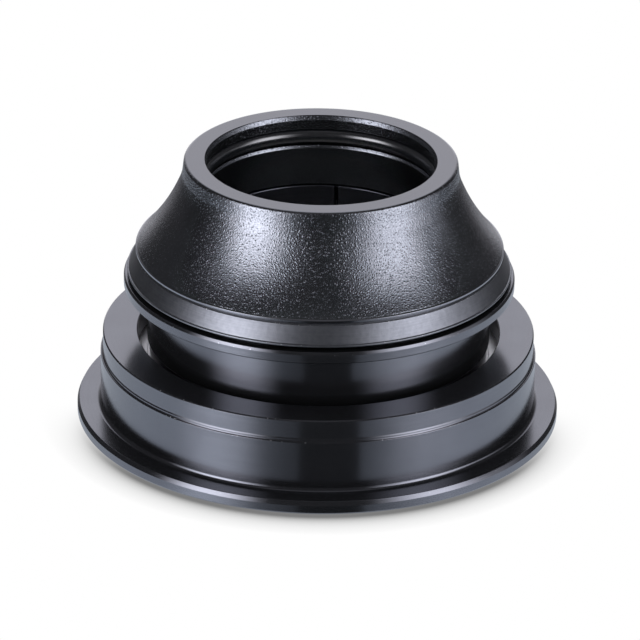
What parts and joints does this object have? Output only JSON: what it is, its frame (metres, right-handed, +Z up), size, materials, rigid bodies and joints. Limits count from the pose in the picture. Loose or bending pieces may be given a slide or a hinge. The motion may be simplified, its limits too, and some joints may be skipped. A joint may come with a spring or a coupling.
{
  "type": "bicycle headset",
  "caption": "Tapered semi-integrated bicycle headset: cone spacer, bearing cover, press cups and sealed angular contact bearings that let a fork steerer turn in a head tube.",
  "frame": {"origin": "on the steering axis, at the crown race's underside, which rests on the fork crown", "axes": "+Z up along the steering axis, from the fork crown towards the stem; -Y is the side seen in the picture"},
  "size_m": [0.062, 0.062, 0.0351],
  "materials": {
    "textured_black": "black with a fine grainy texture",
    "satin_black": "satin black anodised, finely turned",
    "ring_alloy": "black anodised",
    "bearing_steel": "ground steel",
    "ball_steel": "polished steel",
    "race_steel": "blackened steel",
    "cage_nylon": "natural nylon",
    "black_rubber": "smooth black rubber"
  },
  "bodies": {
    "cups": {"upper_cup": "satin_black", "upper_outer_race": "bearing_steel", "upper_top_seal": "black_rubber", "upper_bottom_seal": "black_rubber", "lower_cup": "satin_black", "lower_outer_race": "bearing_steel", "lower_top_shield": "bearing_steel", "lower_bottom_seal": "black_rubber"},
    "upper_turning": {"cone_spacer": "textured_black", "cone_o_ring": "black_rubber", "bearing_cover": "satin_black", "cover_wiper_seal": "black_rubber", "compression_ring": "ring_alloy", "upper_inner_race": "bearing_steel"},
    "upper_ball_set": {"upper_balls": "ball_steel", "upper_ball_cage": "cage_nylon"},
    "lower_turning": {"crown_race": "race_steel", "crown_seal": "black_rubber", "lower_inner_race": "bearing_steel"},
    "lower_ball_set": {"lower_balls": "ball_steel", "lower_ball_cage": "cage_nylon"}
  },
  "joints": [
    {"name": "upper_steering", "type": "hinge", "parent": "cups", "child": "upper_turning", "pos_m": [0, 0, 0.01615], "axis": [0, 0, 1], "continuous": true},
    {"name": "upper_ball_orbit", "type": "hinge", "parent": "cups", "child": "upper_ball_set", "pos_m": [0, 0, 0.01615], "axis": [0, 0, 1], "continuous": true},
    {"name": "lower_steering", "type": "hinge", "parent": "cups", "child": "lower_turning", "pos_m": [0, 0, 0.005], "axis": [0, 0, 1], "continuous": true},
    {"name": "lower_ball_orbit", "type": "hinge", "parent": "cups", "child": "lower_ball_set", "pos_m": [0, 0, 0.005], "axis": [0, 0, 1], "continuous": true}
  ],
  "couplings": [
    {"joint": "upper_ball_orbit", "follows": "upper_steering", "ratio": 0.4724},
    {"joint": "lower_ball_orbit", "follows": "lower_steering", "ratio": 0.4756}
  ]
}
